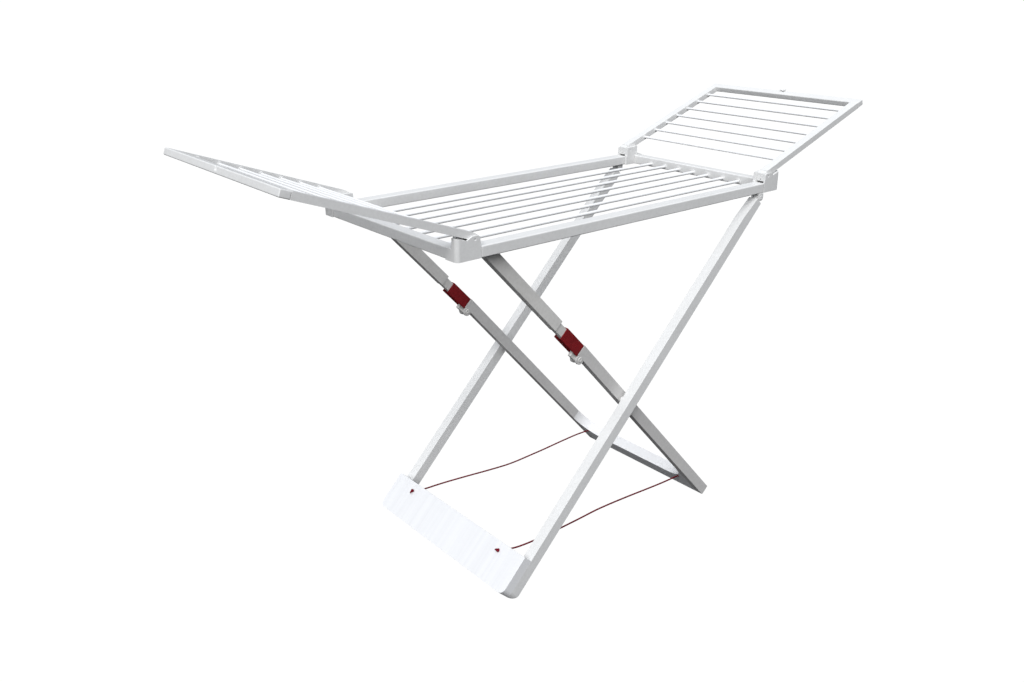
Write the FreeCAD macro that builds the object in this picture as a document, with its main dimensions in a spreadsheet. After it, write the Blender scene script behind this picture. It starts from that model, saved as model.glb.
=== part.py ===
"""Winged clothes drying rack in moulded resin.

A rodded tray stands on crossed legs and carries a folding wing at each end.
+X runs along the tray towards the outer legs' hinge, +Y is the far side, +Z is up.
The origin is on the floor, under the middle of the rack. All sizes are millimetres.
"""
import FreeCAD, Part
import Sketcher
import math
import os
import re

SIZES = {
    # tray
    "tray_length": 1080, "tray_width": 550, "tray_bottom": 898, "rail_height": 26,
    "rail_width": 33.5, "end_rail_width": 28, "rod_radius": 4, "rod_pitch": 54.5, "rod_level": 907,
    # corner blocks, measured outwards from the middle of the tray
    "corner_start": 478, "corner_end": 543, "corner_width": 40, "corner_floor": 925,
    "corner_round": 10, "cheek_top": 948.5, "cheek_thickness": 4.6, "lug_width": 10,
    "column_start": 520, "column_width": 17, "column_low": 943.2, "column_high": 949.5,
    "trough_floor": 921, "stop_top": 942.8, "lug_end": 523,
    # wings
    "wing_pivot_x": 494, "wing_pivot_z": 941, "wing_angle": 19.8, "wing_reach": 453,
    "wing_width": 540, "wing_bar": 24.5, "wing_under": 3.4, "wing_depth": 16.4,
    "barrel_radius": 7.3, "wing_pin_radius": 3, "wing_rod_radius": 3.5, "wing_rod_first": 78,
    "wing_rod_pitch": 51.4, "wing_rod_level": 5, "catch_height": 6, "catch_depth": 7,
    "heel_reach": 11.5, "heel_drop": 14, "vent_radius": 2, "vent_drop": 9.4,
    # outer legs and foot board
    "outer_foot_x": -426, "outer_angle": 45.6, "outer_width": 554, "outer_leg_width": 28.5,
    "outer_leg_depth": 30.2, "outer_hinge_along": 1259, "outer_hinge_depth": 19,
    "outer_leg_gap": 11, "relief_length": 67, "relief_depth": 7.4, "ear_radius": 9,
    "tongue_radius": 8.5, "tongue_width": 10, "hinge_pin_radius": 3.5, "running_fit": 0.06,
    "board_low": 17.6, "board_high": 124, "board_proud": 27.6, "board_wall": 5,
    "board_corner": 18, "board_heel": 20, "cord_hole_along": 101, "cord_hole_side": 192,
    "cord_hole_radius": 3, "cross_along": 597, "cross_depth": 13, "cross_radius": 9,
    # lower frame
    "inner_foot_x": 362, "inner_angle": 48.2, "inner_width": 481, "inner_leg_width": 24,
    "inner_leg_depth": 29.6, "inner_leg_top": 784, "foot_extra": 2, "crossbar_width": 73,
    "crossbar_fillet": 75, "knee_along": 768, "knee_below": 4, "knee_ear_radius": 13,
    "knee_ear_width": 6, "knee_slot_length": 48, "knee_slot_depth": 8.5,
    # upper struts and lock collars
    "strut_angle": 46.9, "strut_gap": 0.4, "neck_end": 109, "strut_end": 419.5,
    "strut_depth": 30, "neck_top": 25, "neck_base": 1, "neck_inset": 3, "knee_tongue_radius": 10,
    "knee_tongue_width": 10, "knee_gusset": 14, "stud_radius": 5, "stud_head_radius": 8,
    "stud_head": 2.8, "collar_length": 80, "collar_start": 0.7, "collar_skirt": 5,
    "collar_top": 28, "collar_wall": 2.7, "collar_web": 2.5,
    # cords
    "cord_radius": 2.25, "knot_radius": 5, "knot_height": 5,
    "anchor_along": 84, "anchor_radius": 3, "anchor_height": 3.5, "clearance": 0.5,
}

# Each cord's route from the board's hole to the crossbar, as (x, z).
FAR_ROUTE = (
    (-371.4, 88.0), (-340, 83.9), (-285, 80.9), (-231, 75.9), (-177, 70.2), (-123, 64.0),
    (-69, 58.6), (-30, 55.4), (10, 55.0), (60, 56.6), (115, 58.2), (165, 61.0), (215, 63.2),
    (262, 64.6), (298.5, 62.4),
)
NEAR_ROUTE = (
    (-371.4, 88.0), (-343, 83.0), (-316, 76.6), (-280, 73.4), (-232, 71.6), (-185, 71.9),
    (-135, 72.8), (-85, 74.2), (-35, 76.6), (15, 75.6), (65, 73.4), (115, 70.6), (165, 67.4),
    (215, 64.4), (260, 62.8), (298.5, 62.4),
)

doc = FreeCAD.newDocument("drying_rack")
dims = doc.addObject("Spreadsheet::Sheet", "dims")
for row, (alias, size) in enumerate(SIZES.items(), start=1):
    dims.set(f"A{row}", alias)
    dims.set(f"B{row}", str(size))
    dims.setAlias(f"B{row}", alias)
doc.recompute()

Vector = FreeCAD.Vector
Placement = FreeCAD.Placement
Rotation = FreeCAD.Rotation
AXIS_Y = Vector(0, 1, 0)
AXIS_Z = Vector(0, 0, 1)
NEAR, FAR = -1, 1
SIDES = ((NEAR, "near"), (FAR, "far"))
ALIAS = re.compile("[a-z_]+")
nodes = []


def linked(formula):
    """Turn a formula in aliases into one that names the sheet."""
    return ALIAS.sub(lambda match: "dims." + match.group(), str(formula))


def value(formula):
    """The number that a formula in aliases gives."""
    return float(dims.evalExpression(linked(formula)))


def shifted(frame, x, y, z, turn=None):
    """A placement at a point of a frame, turned there if asked."""
    step = Placement(Vector(value(x), value(y), value(z)), turn or Rotation())
    return frame.multiply(step)


# Frames: world; outwards at each tray end; along each leg from its foot; along a strut or wing.
WORLD = Placement()
HALF_TURN = Placement(Vector(), Rotation(AXIS_Z, 180))
OUTWARDS = {"right": WORLD, "left": HALF_TURN}
OUTER = shifted(WORLD, "outer_foot_x", 0, 0, Rotation(AXIS_Y, -value("outer_angle")))
INNER = shifted(WORLD, "inner_foot_x", 0, 0, Rotation(AXIS_Y, value("inner_angle") - 180))
STRUT_TURN = Rotation(AXIS_Y, value("strut_angle - inner_angle"))
STRUT = shifted(INNER, "inner_leg_top", 0, 0, STRUT_TURN)
KNEE = STRUT.inverse().multVec(INNER.multVec(Vector(value("knee_along"), 0, value("knee_below"))))
OUTER_HINGE = OUTER.multVec(Vector(value("outer_hinge_along"), 0, -value("outer_hinge_depth")))
STRUT_HINGE = STRUT.multVec(Vector(value("strut_end"), 0, -value("strut_depth / 2")))


def strip(side, inner, outer):
    """Start and length across the rack of a strip that lies between two distances."""
    start = inner if side == FAR else f"-({outer})"
    return start, f"({outer}) - ({inner})"


def box(frame, along, across, up):
    """A block; each argument is its start and its length on one axis of the frame."""
    block = doc.addObject("Part::Box", "block")
    block.setExpression("Length", linked(along[1]))
    block.setExpression("Width", linked(across[1]))
    block.setExpression("Height", linked(up[1]))
    block.Placement = shifted(frame, along[0], across[0], up[0])
    return block


def cylinder(place, radius, length):
    """A cylinder along the Z axis of its placement."""
    bar = doc.addObject("Part::Cylinder", "bar")
    bar.setExpression("Radius", linked(radius))
    bar.setExpression("Height", linked(length))
    bar.Placement = place
    return bar


def crosswise(frame, x, z, across, radius):
    """A cylinder across the rack; across is its start and length."""
    turn = Rotation(Vector(1, 0, 0), -90)
    return cylinder(shifted(frame, x, across[0], z, turn), radius, across[1])


def prism(frame, outline, across):
    """A sketched outline in the frame's XZ plane, padded across the rack."""
    body = doc.addObject("PartDesign::Body", "body")
    plane = next(item for item in body.Origin.OriginFeatures if item.Role == "XZ_Plane")
    sketch = body.newObject("Sketcher::SketchObject", "outline")
    sketch.AttachmentSupport = [(plane, "")]
    sketch.MapMode = "FlatFace"
    corners = [Vector(value(x), value(z), 0) for x, z in outline]
    for number, corner in enumerate(corners):
        following = corners[(number + 1) % len(corners)]
        sketch.addGeometry(Part.LineSegment(corner, following))
    for number, (x, z) in enumerate(outline):
        previous = (number - 1) % len(outline)
        sketch.addConstraint(coincident(previous, number))
        for kind, formula in (("DistanceX", x), ("DistanceY", z)):
            pin_corner(sketch, kind, number, formula)
    pad = body.newObject("PartDesign::Pad", "pad")
    pad.Profile = sketch
    pad.Reversed = True
    pad.setExpression("Length", linked(across[1]))
    body.Placement = shifted(frame, 0, across[0], 0)
    return body


def coincident(previous, number):
    """The join between the end of one line and the start of the next."""
    return Sketcher.Constraint("Coincident", previous, 2, number, 1)


def pin_corner(sketch, kind, number, formula):
    """Tie one coordinate of a corner to the sheet."""
    place = sketch.addConstraint(Sketcher.Constraint(kind, -1, 1, number, 1, value(formula)))
    sketch.setExpression(f"Constraints[{place}]", linked(formula))


def fuse(*pieces):
    """Several pieces as one."""
    whole = doc.addObject("Part::MultiFuse", "whole")
    whole.Shapes = list(pieces)
    whole.Refine = True
    return whole


def cut(base, *tools):
    """A piece with others taken away."""
    for tool in tools:
        left = doc.addObject("Part::Cut", "left")
        left.Base = base
        left.Tool = tool
        base = left
    return base


def common(base, tool):
    """What two pieces share."""
    shared = doc.addObject("Part::Common", "shared")
    shared.Base = base
    shared.Tool = tool
    return shared


def rounded(base, frame, picks):
    """A piece with edges rounded; picks are pairs of an edge's place in a frame and a radius."""
    doc.recompute()
    chosen = []
    for number, edge in enumerate(base.Shape.Edges, start=1):
        for place, radius in picks:
            if near_point(frame, edge, **place):
                chosen.append((number, value(radius), value(radius)))
    smooth = doc.addObject("Part::Fillet", "smooth")
    smooth.Base = base
    smooth.Edges = chosen
    return smooth


def node(label, piece):
    """Name a finished sub-part, to be written out."""
    piece.Label = label
    nodes.append(piece)


def near_point(frame, edge, x=None, y=None, z=None):
    """Whether every corner of an edge has the given coordinates in a frame."""
    for vertex in edge.Vertexes:
        local = frame.inverse().multVec(vertex.Point)
        for wanted, got in ((x, local.x), (y, local.y), (z, local.z)):
            if wanted is not None and abs(wanted - got) > 0.01:
                return False
    return True


def tray():
    """Rails and rods of the tray."""
    level = ("tray_bottom", "rail_height")
    along = ("-corner_start", "2 * corner_start")
    inside = ("corner_width - tray_width / 2", "tray_width - 2 * corner_width")
    for side, name in SIDES:
        across = strip(side, "tray_width / 2 - rail_width", "tray_width / 2")
        node(f"tray_rail_{name}", box(WORLD, along, across, level))
    for end, frame in OUTWARDS.items():
        reach = ("tray_length / 2 - end_rail_width", "end_rail_width")
        node(f"tray_end_{end}", box(frame, reach, inside, level))
    node("tray_rods", fuse(*[tray_rod(number) for number in range(-3, 4)]))


def tray_rod(number):
    """One long rod between the end rails."""
    start = "end_rail_width - tray_length / 2"
    turn = Rotation(AXIS_Y, 90)
    place = shifted(WORLD, start, f"{number} * rod_pitch", "rod_level", turn)
    return cylinder(place, "rod_radius", "tray_length - 2 * end_rail_width")


def corner_block(end, frame, side, name):
    """A block with a trough for the wing's heel, between an outer cheek and an inner lug."""
    half = "tray_width / 2"
    base_level = ("tray_bottom", "corner_floor - tray_bottom")
    outer = strip(side, f"{half} - corner_width", half)
    base = box(frame, ("corner_start", "corner_end - corner_start"), outer, base_level)
    column = prism(frame, (
        ("column_start", "tray_bottom"), ("corner_end", "tray_bottom"),
        ("corner_end", "column_high"), ("column_start", "column_low"),
    ), strip(side, f"{half} - column_width", half))
    cheek = prism(frame, (
        ("corner_start", "tray_bottom"), ("corner_start + 3", "cheek_top - 3"),
        ("corner_start + 8", "cheek_top"), ("wing_pivot_x + 7", "cheek_top"),
        ("column_start - 5", "column_low - 2"), ("column_start", "column_low"),
        ("column_start", "tray_bottom"),
    ), strip(side, f"{half} - cheek_thickness", half))
    lug_strip = strip(side, f"{half} - corner_width", f"{half} - corner_width + lug_width")
    lug = prism(frame, (
        ("corner_start", "tray_bottom"), ("corner_start + 4", "cheek_top"),
        ("lug_end", "cheek_top + 2.5"), ("lug_end", "tray_bottom"),
    ), lug_strip)
    whole = fuse(base, column, cheek, lug)
    edge_x = value("corner_end")
    edge_y = side * value("tray_width / 2")
    smooth = rounded(whole, frame, [({"x": edge_x, "y": edge_y}, "corner_round")])
    inside = strip(side, f"{half} - corner_width + lug_width", f"{half} - cheek_thickness")
    trough = box(frame, ("corner_start - 1", "column_start - corner_start - 9"), inside,
                 ("trough_floor", 10))
    stop = box(frame, ("column_start - 7.4", 6.4), strip(side, f"{half} - 29", f"{half} - 17"),
               ("corner_floor", "stop_top - corner_floor"))
    pin = crosswise(frame, "wing_pivot_x", "wing_pivot_z", outer, "wing_pin_radius")
    node(f"corner_{end}_{name}", fuse(cut(smooth, trough, pin), stop))


def corners():
    """Four corner blocks and the wings' hinge pins."""
    for end, frame in OUTWARDS.items():
        for side, name in SIDES:
            inward = side if end == "right" else -side
            corner_block(end, frame, inward, name)
        pins = []
        for side in (NEAR, FAR):
            across = strip(side, "tray_width / 2 - corner_width + 1", "tray_width / 2 - 1")
            pins.append(crosswise(frame, "wing_pivot_x", "wing_pivot_z", across, "wing_pin_radius"))
        node(f"wing_pins_{end}", fuse(*pins))


def wing(end, frame):
    """A U of two arms and an outer bar, with seven rods across."""
    pivot = shifted(frame, "wing_pivot_x", 0, "wing_pivot_z", Rotation(AXIS_Y, -value("wing_angle")))
    level = ("-wing_under", "wing_depth")
    bar_start = "wing_reach - wing_bar"
    for side, name in SIDES:
        inward = side if end == "right" else -side
        node(f"wing_arm_{end}_{name}", wing_arm(pivot, frame, inward, level, bar_start))
    bar = box(pivot, (bar_start, "wing_bar"), ("-wing_width / 2", "wing_width"), level)
    if end == "left":
        bar = cut(bar, catch_notch(pivot))
    node(f"wing_bar_{end}", bar)
    rods = [wing_rod(pivot, number) for number in range(7)]
    node(f"wing_rods_{end}", fuse(*rods))
    if end == "right":
        node("wing_catch", catch_hook(pivot))


def wing_arm(pivot, frame, side, level, bar_start):
    """An arm with a barrel and a square heel at its hinge, and a small vent in the heel."""
    across = strip(side, "wing_width / 2 - wing_bar", "wing_width / 2")
    arm = box(pivot, (4, f"{bar_start} - 4"), across, level)
    barrel = crosswise(pivot, 0, 0, across, "barrel_radius")
    upright = shifted(frame, "wing_pivot_x", 0, "wing_pivot_z")
    heel = prism(upright, (
        ("-heel_reach", "-heel_drop"), ("-heel_reach", 7), (-2, 12.5), (4, 10), (7, 0), (2, -7),
        (-5, "-heel_drop"),
    ), across)
    bore = crosswise(pivot, 0, 0, across, "wing_pin_radius + running_fit")
    vent_side = f"{side} * (wing_width / 2 - wing_bar / 2)"
    vent = cylinder(shifted(upright, "-heel_reach - 1", vent_side, "-vent_drop", Rotation(AXIS_Y, 90)),
                    "vent_radius", 7)
    return cut(fuse(arm, barrel, heel), bore, vent)


def wing_rod(pivot, number):
    """One rod across the wing, between the arms' inner faces."""
    across = ("wing_bar - wing_width / 2", "wing_width - 2 * wing_bar")
    place = f"wing_rod_first + {number} * wing_rod_pitch"
    return crosswise(pivot, place, "wing_rod_level", across, "wing_rod_radius")


def catch_hook(pivot):
    """A V on the right wing's outer bar that holds the two wings together when folded."""
    top = "wing_depth - wing_under"
    turned = shifted(pivot, "wing_reach", 0, 0, Rotation(AXIS_Z, 90))
    return prism(turned, (
        (-8, top), (-10, f"{top} + catch_height"), (-6, f"{top} + catch_height"), (0, f"{top} + 1"),
        (6, f"{top} + catch_height"), (10, f"{top} + catch_height"), (8, top),
    ), (0, "catch_depth"))


def catch_notch(pivot):
    """The slot in the left wing's outer bar that the hook drops into."""
    across = (-4, 8)
    return box(pivot, ("wing_reach - catch_depth", "catch_depth + 1"), across,
               ("wing_depth - wing_under - 9", 10))


def hinge_brackets():
    """Ears under the rails for the outer legs, and studs inside the rails for the struts."""
    middle = "outer_width / 2 - outer_leg_width / 2"
    gap = "tongue_width / 2 + clearance"
    for side, name in SIDES:
        ears = []
        for inner, outer in ((f"{middle} - 13.3", f"{middle} - ({gap})"),
                             (f"{middle} + {gap}", f"{middle} + 13.3")):
            ears.append(ear(strip(side, inner, outer)))
        node(f"leg_ears_{name}", fuse(*ears))
        node(f"strut_stud_{name}", stud(side))


def ear(across):
    """A hanging plate with a round lower end and a bore for the leg's pin."""
    x, z = OUTER_HINGE.x, OUTER_HINGE.z
    plate = box(WORLD, (f"{x} - ear_radius", "2 * ear_radius"), across, (z, f"tray_bottom - {z}"))
    end = crosswise(WORLD, x, z, across, "ear_radius")
    bore = crosswise(WORLD, x, z, across, "hinge_pin_radius + running_fit")
    return cut(fuse(plate, end), bore)


def stud(side):
    """A headed pin that carries the top of a strut."""
    x, z = STRUT_HINGE.x, STRUT_HINGE.z
    face = "tray_width / 2 - rail_width"
    head = "inner_width / 2 - inner_leg_width - clearance"
    shank = crosswise(WORLD, x, z, strip(side, f"{head} - 1", face), "stud_radius")
    cap = crosswise(WORLD, x, z, strip(side, f"{head} - stud_head", head), "stud_head_radius")
    return fuse(shank, cap)


def foot_blank():
    """The outer form of the outer legs and their foot board, with its rounded lower end."""
    block = box(OUTER, ("board_low", 1300), ("-outer_width / 2", "outer_width"),
                ("-outer_leg_depth", "outer_leg_depth + board_proud"))
    low, back, half = value("board_low"), -value("outer_leg_depth"), value("outer_width / 2")
    return rounded(block, OUTER, [
        ({"x": low, "z": back}, "board_heel"),
        ({"x": low, "y": -half}, "board_corner"),
        ({"x": low, "y": half}, "board_corner"),
    ])


def floor_block():
    """Everything below the floor."""
    return box(WORLD, (-1200, 2400), (-400, 800), (-200, 200))


def outer_legs(blank):
    """The outer pair of legs, with their tongues, pins and crossing bosses."""
    shoulder = "outer_hinge_along - outer_leg_gap"
    inside = "board_low + board_wall"
    for side, name in SIDES:
        across = strip(side, "outer_width / 2 - outer_leg_width", "outer_width / 2")
        bar = prism(OUTER, (
            (inside, 0), (f"{shoulder} - relief_length", 0), (shoulder, "-relief_depth"),
            (shoulder, "-outer_leg_depth"), (inside, "-outer_leg_depth"),
        ), across)
        trimmed = cut(common(bar, blank), floor_block())
        node(f"outer_leg_{name}", cut(fuse(trimmed, *leg_tongue(side)), leg_bore(side, across)))
        node(f"leg_pin_{name}", leg_pin(side))
        boss = strip(side, "inner_width / 2 + 1", "outer_width / 2 - outer_leg_width")
        node(f"cross_boss_{name}", crosswise(OUTER, "cross_along", "-cross_depth", boss, "cross_radius"))


def leg_tongue(side):
    """The narrow eye at a leg's top end and the neck that joins it to the leg."""
    middle = "outer_width / 2 - outer_leg_width / 2"
    across = strip(side, f"{middle} - tongue_width / 2", f"{middle} + tongue_width / 2")
    eye = crosswise(OUTER, "outer_hinge_along", "-outer_hinge_depth", across, "tongue_radius")
    neck = box(OUTER, ("outer_hinge_along - 2 * outer_leg_gap", "2 * outer_leg_gap"), across,
               ("-outer_hinge_depth - tongue_radius", "2 * tongue_radius"))
    return eye, neck


def leg_bore(side, across):
    """The hole that the leg's pin is pressed into."""
    return crosswise(OUTER, "outer_hinge_along", "-outer_hinge_depth", across, "hinge_pin_radius")


def leg_pin(side):
    """The pin through a leg's tongue and the two ears round it."""
    middle = "outer_width / 2 - outer_leg_width / 2"
    across = strip(side, f"{middle} - 13", f"{middle} + 13")
    return crosswise(OUTER, "outer_hinge_along", "-outer_hinge_depth", across, "hinge_pin_radius")


def foot_board(blank):
    """A hollow board across the outer legs' lower ends, with two cord holes."""
    block = box(OUTER, ("board_low", "board_high - board_low"), ("-outer_width / 2", "outer_width"),
                ("-outer_leg_depth", "outer_leg_depth + board_proud"))
    inside = ("board_low + board_wall", 200)
    width = ("board_wall - outer_width / 2", "outer_width - 2 * board_wall")
    tools = [box(OUTER, inside, width, (-60, "60 + board_proud - board_wall"))]
    for side in (NEAR, FAR):
        slot = strip(side, "outer_width / 2 - outer_leg_width", "outer_width / 2 + 10")
        tools.append(box(OUTER, inside, slot, (-60, 60)))
        place = shifted(OUTER, "cord_hole_along", f"{side} * cord_hole_side", 0)
        tools.append(cylinder(place, "cord_hole_radius", 60))
    node("foot_board", cut(common(block, blank), floor_block(), *tools))


def struts():
    """The upper half of each inner leg: a bar, a narrower neck and a tongue at the knee."""
    for side, name in SIDES:
        half = "inner_width / 2"
        across = strip(side, f"{half} - inner_leg_width", half)
        inset = strip(side, f"{half} - inner_leg_width + neck_inset", f"{half} - neck_inset")
        bar = box(STRUT, ("neck_end", "strut_end - neck_end"), across, ("-strut_depth", "strut_depth"))
        top = crosswise(STRUT, "strut_end", "-strut_depth / 2", across, "strut_depth / 2")
        neck = box(STRUT, ("strut_gap", "neck_end - strut_gap"), inset, ("-neck_top", "neck_top - neck_base"))
        middle = f"{half} - inner_leg_width / 2"
        thin = strip(side, f"{middle} - knee_tongue_width / 2", f"{middle} + knee_tongue_width / 2")
        eye = crosswise(STRUT, KNEE.x, KNEE.z, thin, "knee_tongue_radius")
        gusset = box(STRUT, (KNEE.x, f"knee_gusset - ({KNEE.x})"), thin,
                     (-1, f"{KNEE.z} + knee_tongue_radius + 1"))
        stud_bore = crosswise(STRUT, "strut_end", "-strut_depth / 2", across, "stud_radius + running_fit")
        knee_bore = crosswise(STRUT, KNEE.x, KNEE.z, thin, "hinge_pin_radius + running_fit")
        node(f"strut_{name}", cut(fuse(bar, top, neck, eye, gusset), stud_bore, knee_bore))
        node(f"lock_collar_{name}", collar(side, across))


def collar(side, across):
    """A U-shaped sleeve round the neck, open on the underside."""
    along = ("collar_start", "collar_length")
    through = ("collar_start - 1", "collar_length + 2")
    half = "inner_width / 2"
    inside = strip(side, f"{half} - inner_leg_width + collar_wall", f"{half} - collar_wall")
    shell = box(STRUT, along, across, ("-collar_top", "collar_top + collar_skirt"))
    hollow = box(STRUT, through, inside, ("collar_web - collar_top", "collar_top + collar_skirt"))
    return cut(shell, hollow)


def lower_frame():
    """The lower inner legs and the crossbar that joins them near the floor."""
    along = ("-foot_extra", "inner_leg_top + foot_extra")
    depth = ("-inner_leg_depth", "inner_leg_depth")
    half = "inner_width / 2"
    for side, name in SIDES:
        across = strip(side, f"{half} - inner_leg_width", half)
        leg = cut(box(INNER, along, across, depth), floor_block())
        ears = crosswise(INNER, "knee_along", "knee_below", across, "knee_ear_radius")
        slot_side = strip(side, f"{half} - inner_leg_width + knee_ear_width", f"{half} - knee_ear_width")
        slot = box(INNER, ("inner_leg_top - knee_slot_length", "knee_slot_length + 1"), slot_side,
                   ("-knee_slot_depth", "knee_slot_depth + 20"))
        bore = crosswise(INNER, "knee_along", "knee_below", across, "hinge_pin_radius")
        node(f"lower_leg_{name}", cut(fuse(leg, ears), slot, bore))
        node(f"knee_pin_{name}", crosswise(INNER, "knee_along", "knee_below", across, "hinge_pin_radius"))
    node("crossbar", crossbar(depth))


def crossbar(depth):
    """A wide flat bar with a large fillet into each leg."""
    inner = "inner_width / 2 - inner_leg_width"
    bar = box(INNER, ("-foot_extra", "crossbar_width + foot_extra"),
              (f"-({inner})", f"2 * ({inner})"), depth)
    pieces = [cut(bar, floor_block())]
    for side in (NEAR, FAR):
        across = strip(side, f"{inner} - crossbar_fillet", inner)
        block = box(INNER, ("crossbar_width", "crossbar_fillet"), across, depth)
        middle = shifted(INNER, "crossbar_width + crossbar_fillet",
                         f"{side} * ({inner} - crossbar_fillet)", -40)
        pieces.append(cut(block, cylinder(middle, "crossbar_fillet", 60)))
    return fuse(*pieces)


def knots():
    """Knots in front of the board, and the ties that hold the cords to the crossbar."""
    front = []
    ties = []
    for side in (NEAR, FAR):
        across = f"{side} * cord_hole_side"
        front.append(cylinder(shifted(OUTER, "cord_hole_along", across, "board_proud"),
                              "knot_radius", "knot_height"))
        ties.append(cylinder(shifted(INNER, "anchor_along", across, "clearance"),
                             "anchor_radius", "anchor_height"))
    node("cord_knots", fuse(*front))
    node("cord_ties", fuse(*ties))


def cord_path(points):
    """A wire of straight runs joined by arcs that touch both."""
    edges = []
    start = points[0]
    tightest = float("inf")
    for before, corner, after in zip(points, points[1:], points[2:]):
        back = before - corner
        ahead = after - corner
        half_turn = (math.pi - back.getAngle(ahead)) / 2
        trim = 0.45 * min(back.Length, ahead.Length)
        radius = trim / math.tan(half_turn)
        tightest = min(tightest, radius)
        back.normalize()
        ahead.normalize()
        entry = corner + back * trim
        leave = corner + ahead * trim
        bisector = (back + ahead).normalize()
        middle = corner + bisector * (radius / math.cos(half_turn) - radius)
        edges.append(Part.makeLine(start, entry))
        edges.append(Part.Arc(entry, middle, leave).toShape())
        start = leave
    edges.append(Part.makeLine(start, points[-1]))
    print("cord length", round(sum(edge.Length for edge in edges), 1), "tightest", round(tightest, 1))
    return Part.Wire(edges)


def cords():
    """The two limp cords from the board's holes to the crossbar."""
    for (side, name), route in zip(SIDES, (NEAR_ROUTE, FAR_ROUTE)):
        points = [Vector(x, side * value("cord_hole_side"), z) for x, z in route]
        path = cord_path(points)
        radius = value("cord_radius")
        ring = Part.Wire(Part.makeCircle(radius, points[0], points[1] - points[0]))
        tube = path.makePipeShell([ring], True, True)
        cord = doc.addObject("Part::Feature", "cord")
        cord.Shape = tube
        print("cord volume ratio", round(tube.Volume / (math.pi * radius**2 * path.Length), 4))
        node(f"cord_{name}", cord)


def write_out():
    """Check every object and write one file per sub-part."""
    doc.recompute()
    for item in doc.Objects:
        if "Invalid" in item.State or "Error" in item.State:
            raise RuntimeError(f"{item.Name} {item.Label} {item.State}")
    os.makedirs("parts", exist_ok=True)
    for piece in nodes:
        shape = piece.Shape
        if shape.isNull() or not shape.isValid():
            raise RuntimeError(f"bad shape {piece.Label}")
        shape.exportStep(f"parts/{piece.Label}.step")
    print(len(nodes), "sub-parts")


tray()
corners()
for wing_end, wing_frame in OUTWARDS.items():
    wing(wing_end, wing_frame)
hinge_brackets()
outer_form = foot_blank()
outer_legs(outer_form)
foot_board(outer_form)
struts()
lower_frame()
knots()
cords()
write_out()
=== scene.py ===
"""Looks of the winged drying rack: camera, cords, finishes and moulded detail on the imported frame."""
import math

import bmesh
import bpy
from mathutils import Matrix, Vector


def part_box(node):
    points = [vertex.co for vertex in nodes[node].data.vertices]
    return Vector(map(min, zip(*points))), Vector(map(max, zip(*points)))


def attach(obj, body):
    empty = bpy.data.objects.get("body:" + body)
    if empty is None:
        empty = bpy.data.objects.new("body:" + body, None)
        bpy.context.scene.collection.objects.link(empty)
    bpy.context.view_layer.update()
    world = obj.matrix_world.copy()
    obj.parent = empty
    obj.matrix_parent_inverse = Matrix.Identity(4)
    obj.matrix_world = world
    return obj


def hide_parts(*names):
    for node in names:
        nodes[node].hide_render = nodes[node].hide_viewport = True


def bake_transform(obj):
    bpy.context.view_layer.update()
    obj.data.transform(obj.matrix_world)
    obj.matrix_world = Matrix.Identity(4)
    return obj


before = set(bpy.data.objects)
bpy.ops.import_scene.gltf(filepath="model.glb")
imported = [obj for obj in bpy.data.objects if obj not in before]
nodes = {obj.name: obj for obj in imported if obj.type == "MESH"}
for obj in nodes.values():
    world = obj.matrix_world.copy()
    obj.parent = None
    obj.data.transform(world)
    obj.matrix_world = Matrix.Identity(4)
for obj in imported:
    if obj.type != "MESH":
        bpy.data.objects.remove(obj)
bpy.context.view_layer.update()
scene = bpy.context.scene
scene.view_settings.view_transform = "Standard"


EYE = (-1.65287, -1.80473, 1.46764)
LENS = 33.64
YAW, PITCH, ROLL = -39.39, 68.58, -0.18


def camera():
    """The viewing angle: from the near left, a little above the tray."""
    data = bpy.data.cameras.new("camera")
    data.sensor_width = 36
    data.lens = LENS
    data.clip_end = 300
    eye = bpy.data.objects.new("camera", data)
    eye.location = EYE
    turn = Matrix.Rotation(math.radians(YAW), 3, "Z") @ Matrix.Rotation(math.radians(PITCH), 3, "X")
    turn = turn @ Matrix.Rotation(math.radians(ROLL), 3, "Z")
    eye.rotation_euler = turn.to_euler()
    scene.collection.objects.link(eye)
    scene.camera = eye


# ---------------------------------------------------------------- finishes

def shader(name, rough, spec=0.5):
    """A material with its Principled shader, and a helper that adds and joins nodes."""
    made = bpy.data.materials.new(name)
    made.use_nodes = True
    tree = made.node_tree
    main = tree.nodes["Principled BSDF"]
    main.inputs["Roughness"].default_value = rough
    main.inputs["Specular IOR Level"].default_value = spec

    def add(kind, settings=None, **links):
        item = tree.nodes.new(kind)
        for key, value in (settings or {}).items():
            setattr(item, key, value)
        for key, value in links.items():
            socket = item.inputs[key.replace("_", " ")]
            if isinstance(value, bpy.types.NodeSocket):
                tree.links.new(value, socket)
            else:
                socket.default_value = value
        return item

    return made, tree, main, add


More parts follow.
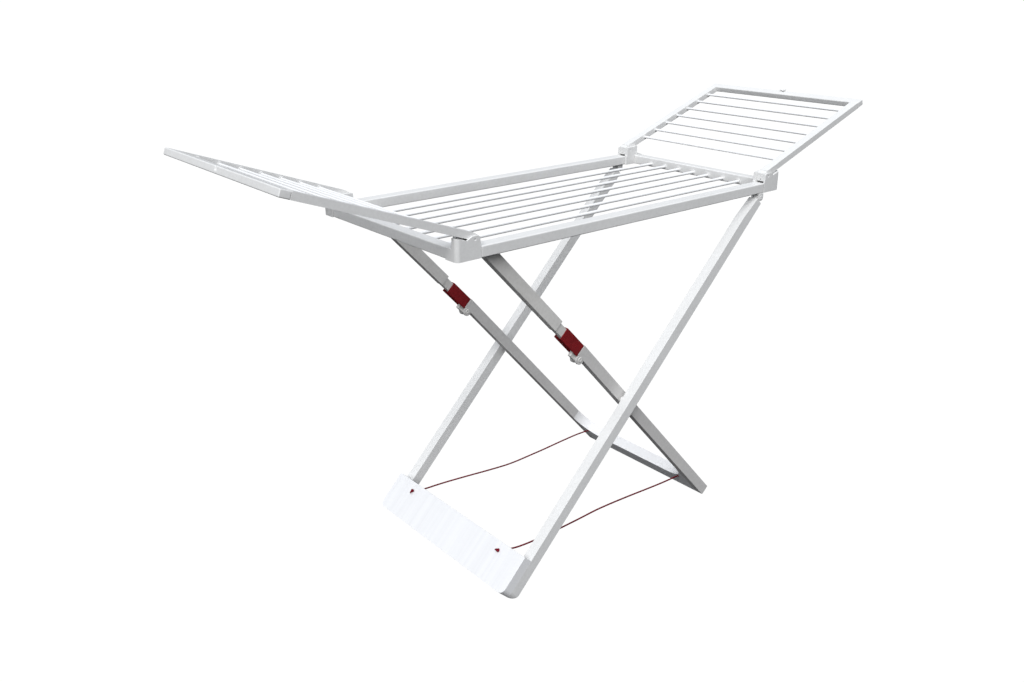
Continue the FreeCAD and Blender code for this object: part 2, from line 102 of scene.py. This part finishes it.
def moulded(name, light, dark, rough=0.42, grain=900.0, streak=None, spec=0.5):
    """Moulded resin: a faint cloudiness, fine grain, and long flow streaks where asked."""
    made, tree, main, add = shader(name, rough, spec)
    place = add("ShaderNodeTexCoord").outputs["Object"]
    cloud = add("ShaderNodeTexNoise", Vector=place, Scale=9.0, Detail=5.0, Roughness=0.6)
    speck = add("ShaderNodeTexNoise", Vector=place, Scale=140.0, Detail=3.0)
    both = add("ShaderNodeMath", {"operation": "ADD"})
    tree.links.new(cloud.outputs["Fac"], both.inputs[0])
    tree.links.new(speck.outputs["Fac"], both.inputs[1])
    spread = add("ShaderNodeMapRange", Value=both.outputs[0])
    spread.inputs["From Min"].default_value = 0.75
    spread.inputs["From Max"].default_value = 1.25
    shade = spread.outputs["Result"]
    if streak:
        flow = add("ShaderNodeMapping", Vector=place, Scale=streak)
        lines = add("ShaderNodeTexNoise", Vector=flow.outputs["Vector"], Scale=1.0, Detail=2.0)
        band = add("ShaderNodeMapRange", Value=lines.outputs["Fac"])
        band.inputs["From Min"].default_value = 0.35
        band.inputs["From Max"].default_value = 0.7
        shade = band.outputs["Result"]
    tint = add("ShaderNodeMix", {"data_type": "RGBA"}, Factor=shade)
    tint.inputs["A"].default_value = (*light, 1)
    tint.inputs["B"].default_value = (*dark, 1)
    tree.links.new(tint.outputs["Result"], main.inputs["Base Color"])
    skin = add("ShaderNodeTexNoise", Vector=place, Scale=grain, Detail=2.0)
    bump = add("ShaderNodeBump", Strength=0.12, Distance=0.0002, Height=skin.outputs["Fac"])
    tree.links.new(bump.outputs["Normal"], main.inputs["Normal"])
    gloss = add("ShaderNodeMapRange", Value=cloud.outputs["Fac"])
    gloss.inputs["To Min"].default_value = rough - 0.07
    gloss.inputs["To Max"].default_value = rough + 0.09
    tree.links.new(gloss.outputs["Result"], main.inputs["Roughness"])
    return made


WHITE = moulded("white_resin", (0.82, 0.82, 0.815), (0.76, 0.76, 0.755))
# Painted shade: a darker, slightly warm copy of the white resin that stands in for the shade under the
# tray on the struts
STRUT_PAINTED_SHADE = moulded("leg_resin", (0.73, 0.72, 0.70), (0.65, 0.64, 0.62), rough=0.5)
# Painted shade: a darker copy of the white resin for the lower legs, standing in for shade on their
# sides rather than a real colour
SHADED = moulded("lower_leg_resin", (0.66, 0.65, 0.64), (0.59, 0.58, 0.57), rough=0.5)
BOARD = moulded("board_resin", (0.845, 0.85, 0.865), (0.80, 0.805, 0.822), streak=(1.5, 70, 1.5))
# Painted light: a lighter copy of the white resin that keeps the crossbar's lit top white beside the
# darkened legs
BAR_PAINTED_LIGHT = moulded("bar_resin", (0.92, 0.92, 0.93), (0.87, 0.87, 0.88), rough=0.5)
ROD = moulded("coated_rod", (0.93, 0.935, 0.945), (0.89, 0.895, 0.905), rough=0.34, grain=300)
RED = moulded("red_resin", (0.23, 0.009, 0.013), (0.16, 0.006, 0.009), rough=0.58, grain=500, spec=0.18)
CORD = moulded("red_cord", (0.19, 0.006, 0.018), (0.12, 0.004, 0.010), rough=0.8, grain=2500, spec=0.05)


def finish(item, material):
    """One material over the whole of a piece."""
    item.data.materials.clear()
    item.data.materials.append(material)


def softened(item, width, segments=3, angle=32):
    """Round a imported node's edges, without touching its mesh."""
    weld = item.modifiers.new("weld", "WELD")
    weld.merge_threshold = 0.00001
    flat = item.modifiers.new("flat", "DECIMATE")
    flat.decimate_type = "DISSOLVE"
    flat.angle_limit = math.radians(0.5)
    edge = item.modifiers.new("bevel", "BEVEL")
    edge.width = width
    edge.segments = segments
    edge.limit_method = "ANGLE"
    edge.angle_limit = math.radians(angle)
    smooth = item.modifiers.new("normals", "WEIGHTED_NORMAL")
    smooth.weight = 100


def dress_nodes():
    """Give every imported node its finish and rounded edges."""
    widths = {
        "tray_rail": 0.003, "tray_end": 0.003, "corner": 0.0018, "wing_arm": 0.0025, "wing_bar": 0.0025,
        "outer_leg": 0.0025, "foot_board": 0.0016, "strut_near": 0.002, "strut_far": 0.002,
        "lower_leg": 0.002, "crossbar": 0.002, "lock_collar": 0.0008, "leg_ears": 0.0012,
        "strut_stud": 0.0008, "wing_catch": 0.001,
    }
    for name, item in nodes.items():
        material = WHITE
        if "rods" in name:
            material = ROD
        elif name.startswith("lock_collar"):
            material = RED
        elif name.startswith("cord"):
            material = CORD
        elif name.startswith("foot_board"):
            material = BOARD
        # The crossbar gets the lighter painted-light copy of the white resin
        elif name == "crossbar":
            material = BAR_PAINTED_LIGHT
        # The lower legs get the darker painted-shade copy of the white resin
        elif name.startswith("lower_leg"):
            material = SHADED
        # The struts get the darker painted-shade copy of the white resin
        elif name.startswith(("strut_near", "strut_far")):
            material = STRUT_PAINTED_SHADE
        for slot in item.material_slots:
            slot.material = material
        width = next((size for start, size in widths.items() if name.startswith(start)), None)
        if width:
            softened(item, width)


# ---------------------------------------------------------------- cords

FAR_ROUTE = (
    (-0.3714, 0.0880), (-0.340, 0.0839), (-0.285, 0.0809), (-0.231, 0.0759), (-0.177, 0.0702),
    (-0.123, 0.0640), (-0.069, 0.0586), (-0.030, 0.0554), (0.010, 0.0550), (0.060, 0.0566),
    (0.115, 0.0582), (0.165, 0.0610), (0.215, 0.0632), (0.262, 0.0646), (0.2985, 0.0624),
)
NEAR_ROUTE = (
    (-0.3714, 0.0880), (-0.343, 0.0830), (-0.316, 0.0766), (-0.280, 0.0734), (-0.232, 0.0716),
    (-0.185, 0.0719), (-0.135, 0.0728), (-0.085, 0.0742), (-0.035, 0.0766), (0.015, 0.0756),
    (0.065, 0.0734), (0.115, 0.0706), (0.165, 0.0674), (0.215, 0.0644), (0.260, 0.0628),
    (0.2985, 0.0624),
)
CORD_SIDE = 0.192
CORD_RADIUS = 0.00225


def smooth_line(points):
    """Points along the NURBS line of a route."""
    curve = bpy.data.curves.new("route", "CURVE")
    curve.dimensions = "3D"
    spline = curve.splines.new("NURBS")
    spline.points.add(len(points) - 1)
    for point, place in zip(spline.points, points):
        point.co = (*place, 1)
    spline.order_u = 3
    spline.use_endpoint_u = True
    spline.resolution_u = 16
    holder = bpy.data.objects.new("route", curve)
    mesh = bpy.data.meshes.new_from_object(holder)
    line = [vertex.co.copy() for vertex in mesh.vertices]
    bpy.data.objects.remove(holder)
    return line


def rope(name, line, radius, pitch=0.014, hollow=0.13, sides=18):
    """A three-strand laid rope along a line, with a hollow between its strands."""
    mesh = bmesh.new()
    rings = []
    travelled = 0.0
    for number, place in enumerate(line):
        before = line[max(number - 1, 0)]
        after = line[min(number + 1, len(line) - 1)]
        travelled += (place - before).length
        ahead = (after - before).normalized()
        across = ahead.cross(Vector((0, 1, 0))).normalized()
        up = across.cross(ahead)
        ring = []
        for side in range(sides):
            angle = 2 * math.pi * side / sides
            wound = 1.5 * (angle - 2 * math.pi * travelled / pitch)
            swell = 1 - hollow * (1 - abs(math.cos(wound)))
            out = math.cos(angle) * across + math.sin(angle) * up
            ring.append(mesh.verts.new(place + out * radius * swell))
        rings.append(ring)
    for here, there in zip(rings, rings[1:]):
        for side in range(sides):
            following = (side + 1) % sides
            mesh.faces.new((here[side], here[following], there[following], there[side]))
    mesh.faces.new(reversed(rings[0]))
    mesh.faces.new(rings[-1])
    return piece(name, mesh, CORD)


def piece(name, mesh, material, smooth=True):
    """A new object from a built mesh."""
    bmesh.ops.recalc_face_normals(mesh, faces=mesh.faces)
    data = bpy.data.meshes.new(name)
    mesh.to_mesh(data)
    mesh.free()
    for face in data.polygons:
        face.use_smooth = smooth
    made = bpy.data.objects.new(name, data)
    scene.collection.objects.link(made)
    finish(made, material)
    return made


def cords():
    """The two limp cords, which bend from the board to the crossbar's ties."""
    for side, name, route in ((-1, "near", NEAR_ROUTE), (1, "far", FAR_ROUTE)):
        line = smooth_line([(x, side * CORD_SIDE, z) for x, z in route])
        cord = rope(f"rope_{name}", line, CORD_RADIUS)
        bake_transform(cord)
        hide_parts(f"cord_{name}")
        length = sum((b - a).length for a, b in zip(line, line[1:]))
        print("rope", name, round(length, 4))


# ---------------------------------------------------------------- moulded detail

MM = 0.001
OUTER_FOOT, OUTER_ANGLE = Vector((-0.426, 0, 0)), 45.6
STRUT_ANGLE, WING_ANGLE = 46.9, 19.8

# Lathed outlines, as (radius, height) in millimetres.
LEG_PIN_HEAD = ((5.6, -0.2), (5.6, 0.3), (5.2, 0.65), (3.2, 0.75), (2.6, 0.4), (0, 0.3))
KNEE_PIN_HEAD = ((6.6, -0.2), (6.6, 0.7), (6.0, 1.4), (4.0, 1.7), (3.0, 0.9), (0, 0.8))
ROD_RIM = ((7.2, -0.1), (7.0, 0.7), (6.2, 1.0), (4.4, 1.0), (4.05, 0.4))
WING_RIM_SCALE = 0.86

# Where the detail sits, in metres, except the wing rods' first place and pitch, in millimetres.
LEG_PIN_FACE = 0.2761
KNEE_OUTER_FACE, KNEE_INNER_FACE = 0.2405, 0.2165
TRAY_ROD_END, TRAY_ROD_PITCH, TRAY_ROD_HEIGHT = 0.512, 0.0545, 0.907
WING_ROD_FIRST, WING_ROD_PITCH = 78, 51.4
WING_ROD_END, WING_ROD_LIFT = 0.2455, 0.005
RIB_PITCH, RIB_LOW, RIB_HIGH = 0.048, 0.0228, 0.1195
GRIP_PITCH, GRIP_FACE, GRIP_LENGTH = 0.0043, 0.0120, 0.0285
GRIP_TOP, GRIP_BASE, GRIP_RISE = 0.0010, 0.0022, 0.0007


def slotted(item):
    """A piece, returned unchanged."""
    return item


def middle(name):
    """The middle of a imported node's box."""
    low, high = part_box(name)
    return (Vector(low) + Vector(high)) / 2


def outline(points):
    """A lathed outline in metres."""
    return [(radius * MM, height * MM) for radius, height in points]


def leaning(origin, angle):
    """A matrix whose x axis runs up a leg or wing from its start."""
    return Matrix.Translation(origin) @ Matrix.Rotation(-math.radians(angle), 4, "Y")


def turned(mesh, profile, place, sides=40):
    """A lathed form about the local z axis of a matrix, from (radius, height) pairs."""
    rings = []
    for radius, height in profile:
        ring = []
        for side in range(sides if radius > 0 else 1):
            angle = 2 * math.pi * side / sides
            spot = Vector((radius * math.cos(angle), radius * math.sin(angle), height))
            ring.append(mesh.verts.new(place @ spot))
        rings.append(ring)
    for here, there in zip(rings, rings[1:]):
        for side in range(sides):
            following = (side + 1) % sides
            if len(here) == 1:
                mesh.faces.new((here[0], there[side], there[following]))
            elif len(there) == 1:
                mesh.faces.new((here[side], here[following], there[0]))
            else:
                mesh.faces.new((here[side], here[following], there[following], there[side]))


def sideways(pin, y, side):
    """A matrix on a pin's axis whose z axis points to the near or far side."""
    hub = middle(pin)
    return Matrix.Translation((hub.x, y, hub.z)) @ Matrix.Rotation(-side * math.pi / 2, 4, "X")


def pin_heads():
    """Shallow dimpled heads on the leg hinges and the knees."""
    for side, name in ((-1, "near"), (1, "far")):
        head = bmesh.new()
        turned(head, outline(LEG_PIN_HEAD), sideways(f"leg_pin_{name}", side * LEG_PIN_FACE, side))
        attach(slotted(piece(f"leg_pin_head_{name}", head, WHITE)), "outer_legs")
        head = bmesh.new()
        for face, way in ((KNEE_OUTER_FACE, 1), (KNEE_INNER_FACE, -1)):
            place = sideways(f"knee_pin_{name}", side * face, side * way)
            turned(head, outline(KNEE_PIN_HEAD), place)
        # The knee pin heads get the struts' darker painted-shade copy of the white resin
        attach(slotted(piece(f"knee_pin_head_{name}", head, STRUT_PAINTED_SHADE)), "lower_frame")


def rod_rims():
    """Thin rims where the rods enter the rails and the wing arms."""
    rim = outline(ROD_RIM)
    mesh = bmesh.new()
    for number in range(-3, 4):
        for way in (-1, 1):
            place = Matrix.Translation((way * TRAY_ROD_END, number * TRAY_ROD_PITCH, TRAY_ROD_HEIGHT))
            turned(mesh, rim, place @ Matrix.Rotation(-way * math.pi / 2, 4, "Y"), sides=24)
    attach(slotted(piece("tray_rod_rims", mesh, WHITE)), "tray")
    small = [(radius * WING_RIM_SCALE, height) for radius, height in rim]
    for way, name in ((1, "right"), (-1, "left")):
        mesh = bmesh.new()
        facing = Matrix.Rotation(0 if way == 1 else math.pi, 4, "Z")
        start = facing @ leaning(middle("wing_pins_right"), WING_ANGLE)
        for number in range(7):
            for side in (-1, 1):
                along = (WING_ROD_FIRST + WING_ROD_PITCH * number) * MM
                place = start @ Matrix.Translation((along, side * WING_ROD_END, WING_ROD_LIFT))
                turned(mesh, small, place @ Matrix.Rotation(side * math.pi / 2, 4, "X"), sides=24)
        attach(slotted(piece(f"wing_rod_rims_{name}", mesh, WHITE)), f"wing_{name}")


def board_ribs():
    """Low upright ribs on the inner face of the hollow foot board."""
    mesh = bmesh.new()
    place = leaning(OUTER_FOOT, OUTER_ANGLE)
    root, crest = (0.0226, 0.0013), (0.0198, 0.0008)
    outline_points = ((RIB_LOW, root), (RIB_LOW, crest), (RIB_HIGH - 0.003, crest), (RIB_HIGH, root))
    for number in range(-4, 5):
        across = number * RIB_PITCH
        corners = []
        for along, (depth, half) in outline_points:
            corners.append([
                mesh.verts.new(place @ Vector((along, across + way * half, depth))) for way in (-1, 1)])
        for here, there in zip(corners, corners[1:]):
            mesh.faces.new((here[0], here[1], there[1], there[0]))
        for way in (0, 1):
            mesh.faces.new([pair[way] for pair in corners])
    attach(slotted(piece("board_ribs", mesh, BOARD, smooth=False)), "outer_legs")


def collar_grips():
    """Fine raised bars across the outer and inner side faces of the lock collars."""
    for side, name in ((-1, "near"), (1, "far")):
        place = leaning(middle(f"lock_collar_{name}"), -STRUT_ANGLE)
        mesh = bmesh.new()
        for number in range(-8, 9):
            for face in (-1, 1):
                bar = bmesh.ops.create_cube(mesh, size=1)["verts"]
                for corner in bar:
                    along, out, up = corner.co
                    width = GRIP_TOP if out * face > 0 else GRIP_BASE
                    corner.co = place @ Vector((
                        number * GRIP_PITCH + along * width, face * GRIP_FACE + out * GRIP_RISE,
                        up * GRIP_LENGTH))
        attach(slotted(piece(f"collar_grip_{name}", mesh, RED, smooth=False)), f"collar_{name}")


def knots():
    """Overhand knots outside the board, each with a stub through its hole and a short tail."""
    place = leaning(OUTER_FOOT, OUTER_ANGLE)
    mesh = bmesh.new()
    for side in (-1, 1):
        base = place @ Matrix.Translation((0.101, side * CORD_SIDE, 0.0276))
        base = base @ Matrix.Rotation(side * 0.6, 4, "Z")
        loop = []
        for step in range(72):
            turn = 2 * math.pi * step / 72
            loop.append(base @ Vector((
                1.28 * (math.sin(turn) + 2 * math.sin(2 * turn)) * MM,
                1.12 * (math.cos(turn) - 2 * math.cos(2 * turn)) * MM,
                (3.3 - 1.45 * math.sin(3 * turn)) * MM)))
        tube(mesh, loop, 0.0017, closed=True)
        tail = [base @ Vector((x * MM, y * MM, z * MM)) for x, y, z in (
            (0, 0, -5), (0, 0, -2), (0.3, 0.2, 0.5), (0.6, 1.0, 3.2), (-1.2, 3.2, 4.6), (-3.8, 5.2, 4.4),
            (-6.6, 6.2, 3.2))]
        tube(mesh, smooth_line(tail), 0.0018)
    knot = piece("cord_knot_pair", mesh, CORD)
    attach(knot, "outer_legs")
    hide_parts("cord_knots")


def tube(mesh, line, radius, closed=False, sides=14):
    """A round tube along a line, added to a mesh."""
    count = len(line)
    rings = []
    for number, place in enumerate(line):
        before = line[number - 1] if closed or number else place
        after = line[(number + 1) % count] if closed or number < count - 1 else place
        ahead = (after - before).normalized()
        across = ahead.cross(Vector((0.3, 0.9, 0.2))).normalized()
        up = across.cross(ahead)
        rings.append([mesh.verts.new(place + radius * (
            math.cos(2 * math.pi * side / sides) * across + math.sin(2 * math.pi * side / sides) * up))
            for side in range(sides)])
    pairs = list(zip(rings, rings[1:])) + ([(rings[-1], rings[0])] if closed else [])
    for here, there in pairs:
        for side in range(sides):
            following = (side + 1) % sides
            mesh.faces.new((here[side], here[following], there[following], there[side]))
    if not closed:
        mesh.faces.new(reversed(rings[0]))
        mesh.faces.new(rings[-1])


# ---------------------------------------------------------------- studio

# The sweep's outline as (radius, height) in metres, and the sky as (height, level).
SWEEP = ((0, 0), (58, 0), (66, 3), (70, 9), (70, 22))
SKY = ((0.0, 0.06), (0.02, 0.10), (0.5, 0.5), (1.0, 0.98))
SKY_TINT = (0.95, 0.99, 1.05)
SUN_POWER, SUN_SPREAD, SUN_FROM = 2.6, 50, (-0.59, -0.49, 0.64)


def studio():
    """A white sweep, a soft sky and a broad key light from the upper left."""
    sweep = bmesh.new()
    turned(sweep, SWEEP, Matrix(), sides=64)
    data = bpy.data.meshes.new("floor")
    sweep.to_mesh(data)
    sweep.free()
    floor = bpy.data.objects.new("floor", data)
    scene.collection.objects.link(floor)
    made, _, main, _ = shader("pale_floor", 0.9, 0.1)
    main.inputs["Base Color"].default_value = (0.03, 0.03, 0.03, 1)
    main.inputs["Emission Color"].default_value = (1, 1, 1, 1)
    main.inputs["Emission Strength"].default_value = 0.995
    finish(floor, made)
    made.cycles.emission_sampling = "NONE"
    floor.visible_diffuse = False
    floor.visible_glossy = False
    world = bpy.data.worlds.new("sky")
    scene.world = world
    world.use_nodes = True
    tree = world.node_tree
    back = tree.nodes["Background"]
    place = tree.nodes.new("ShaderNodeTexCoord")
    split = tree.nodes.new("ShaderNodeSeparateXYZ")
    ramp = tree.nodes.new("ShaderNodeValToRGB")
    tree.links.new(place.outputs["Generated"], split.inputs[0])
    tree.links.new(split.outputs["Z"], ramp.inputs["Fac"])
    tree.links.new(ramp.outputs["Color"], back.inputs["Color"])
    for number, (height, level) in enumerate(SKY):
        stop = ramp.color_ramp.elements[number] if number < 2 else ramp.color_ramp.elements.new(height)
        stop.position = height
        stop.color = (*(part * level for part in SKY_TINT), 1)
    back.inputs["Strength"].default_value = 1.0
    key = bpy.data.lights.new("key", "SUN")
    key.energy = SUN_POWER
    key.angle = math.radians(SUN_SPREAD)
    lamp = bpy.data.objects.new("key", key)
    lamp.rotation_euler = Vector(SUN_FROM).to_track_quat("Z", "Y").to_euler()
    scene.collection.objects.link(lamp)


camera()
cords()
knots()
pin_heads()
rod_rims()
board_ribs()
collar_grips()
dress_nodes()
studio()
